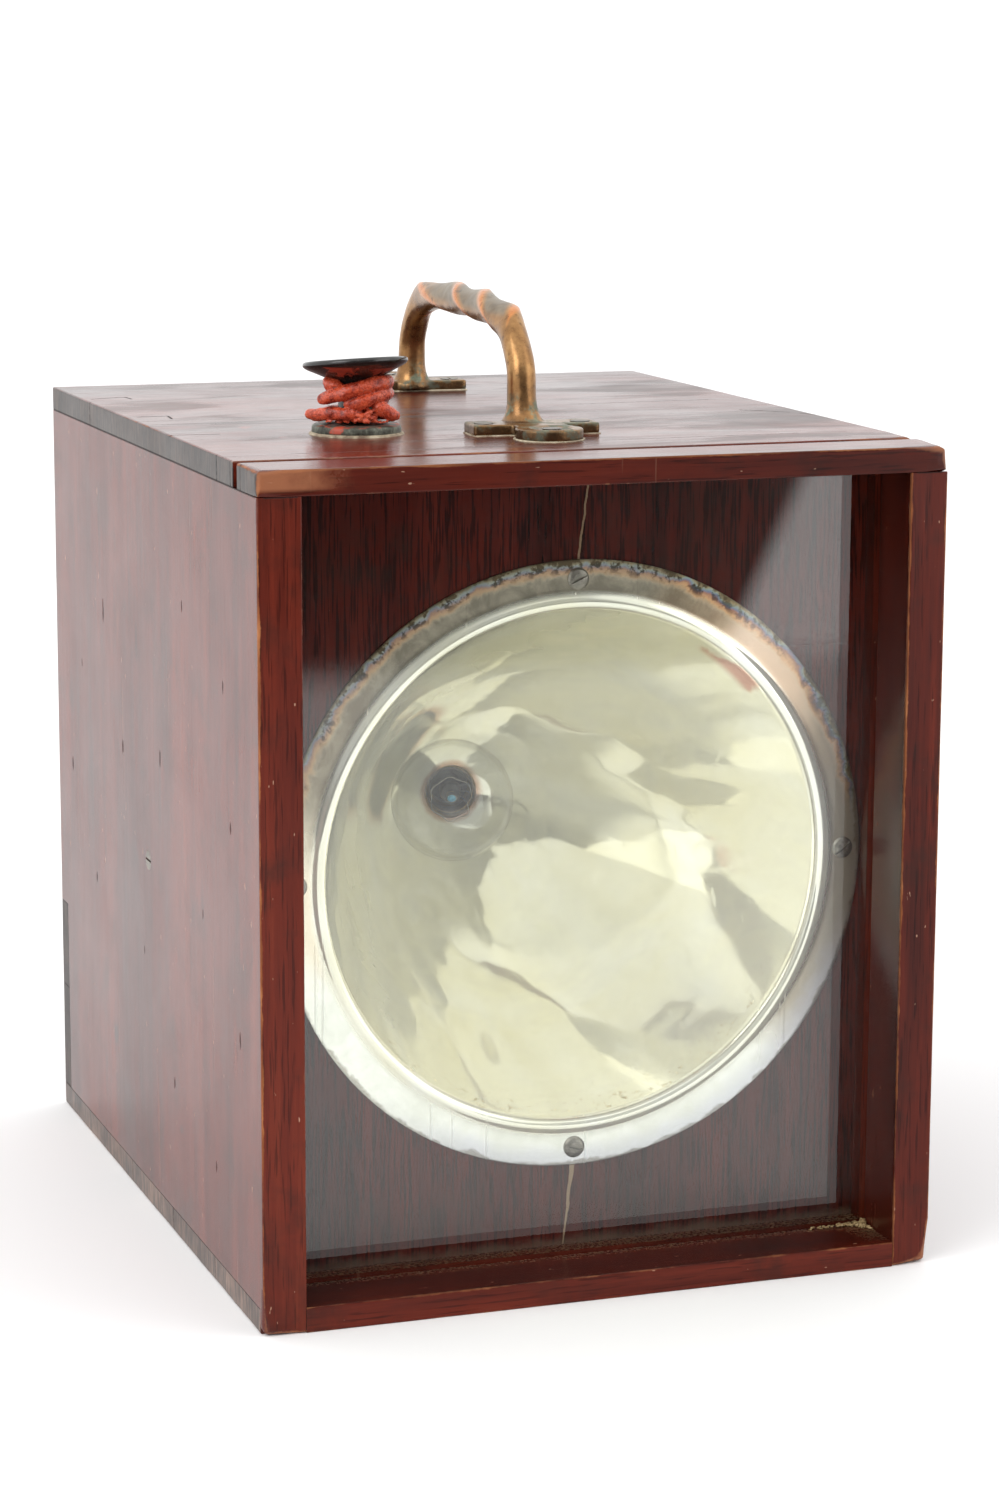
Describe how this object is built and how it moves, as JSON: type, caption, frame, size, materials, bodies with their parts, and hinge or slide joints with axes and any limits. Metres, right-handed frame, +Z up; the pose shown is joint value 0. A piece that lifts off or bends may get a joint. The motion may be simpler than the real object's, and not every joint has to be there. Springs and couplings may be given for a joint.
{
  "type": "darkroom safelight",
  "caption": "Wooden box safelight lamphouse with sliding front glass, deep spun reflector and lamp, rotary knob on top and cast carrying handle",
  "frame": {"origin": "middle of the case footprint, on the plane it stands on", "axes": "+X to the right along the front, +Y from the glass front to the rear door, +Z up"},
  "size_m": [0.3, 0.3809, 0.4139],
  "materials": {
    "mahogany": "worn varnish",
    "inner_wood": "bare planed wood",
    "clear_glass": "polished",
    "lamp_glass": "polished",
    "silvered": "tarnished silver plate",
    "bronze": "worn cast bronze",
    "patina": "dull patina",
    "brass": "satin",
    "steel": "dull",
    "ebonite": "polished",
    "red_rubber": "perished",
    "putty": "dull",
    "porcelain": "glazed",
    "wire_cover": "braided cotton"
  },
  "bodies": {
    "case": {"side_left": "mahogany", "side_right": "mahogany", "top_board": "mahogany", "top_front_strip": "mahogany", "bottom_board": "mahogany", "rear_lower_board": "mahogany", "reflector_board": "mahogany", "board_cleats": "inner_wood", "bearer_battens": "inner_wood", "lamp_bearer": "inner_wood", "door_stops": "inner_wood", "reflector": "silvered", "handle": "bronze", "knob_base": "patina", "lampholder_shell": "brass", "lampholder_plungers": "brass", "lampholder_nipple": "brass", "lampholder_nut": "brass", "lampholder_bracket": "brass", "switch_posts": "brass", "hinge_leaves_case": "brass", "hinge_pins": "brass", "terminal_tubes": "brass", "inlet_nut": "brass", "cleat_screws": "steel", "bearer_screws": "steel", "side_screws": "steel", "bottom_screws": "steel", "rear_board_screws": "steel", "reflector_screws": "steel", "bracket_screws": "steel", "switch_screws": "steel", "handle_screws": "steel", "hinge_screws_case": "steel", "turn_button_screw": "steel", "block_screw": "steel", "inlet_bush": "ebonite", "base_seal": "putty", "lampholder_insulator": "porcelain", "switch_body": "porcelain", "terminal_block": "porcelain", "inner_wires": "wire_cover"},
    "front_glass": {"front_glass": "clear_glass"},
    "knob": {"knob": "ebonite", "knob_spindle": "brass", "rubber_wrap": "red_rubber", "switch_rotor": "ebonite", "switch_blade": "brass"},
    "rear_door": {"rear_door": "mahogany", "hinge_leaves_door": "brass", "hinge_screws_door": "steel", "door_knob": "brass"},
    "turn_button": {"turn_button": "brass"},
    "lamp": {"lamp_glass": "lamp_glass", "lamp_stem": "lamp_glass", "lamp_filament": "steel", "lamp_cap": "brass", "lamp_seal": "ebonite", "lamp_pins": "brass", "lamp_contacts": "brass"}
  },
  "joints": [
    {"name": "front_glass_lift", "type": "slide", "parent": "case", "child": "front_glass", "axis": [0, 0, 1], "range_m": [0, 0.35]},
    {"name": "knob_turn", "type": "hinge", "parent": "case", "child": "knob", "pos_m": [-0.072, -0.062, 0.36], "axis": [0, 0, -1], "range_deg": [0, 90]},
    {"name": "rear_door_swing", "type": "hinge", "parent": "case", "child": "rear_door", "pos_m": [0.1326, 0.1844, 0.225], "axis": [0, 0, -1], "range_deg": [0, 100]},
    {"name": "turn_button_turn", "type": "hinge", "parent": "case", "child": "turn_button", "pos_m": [-0.1407, 0.183, 0.225], "axis": [0, -1, 0], "range_deg": [0, 90]},
    {"name": "lamp_twist", "type": "hinge", "parent": "case", "child": "lamp", "pos_m": [0.0009, 0.0286, 0.1783], "axis": [0.2913, 0.9527, -0.0872], "range_deg": [0, 16]}
  ]
}
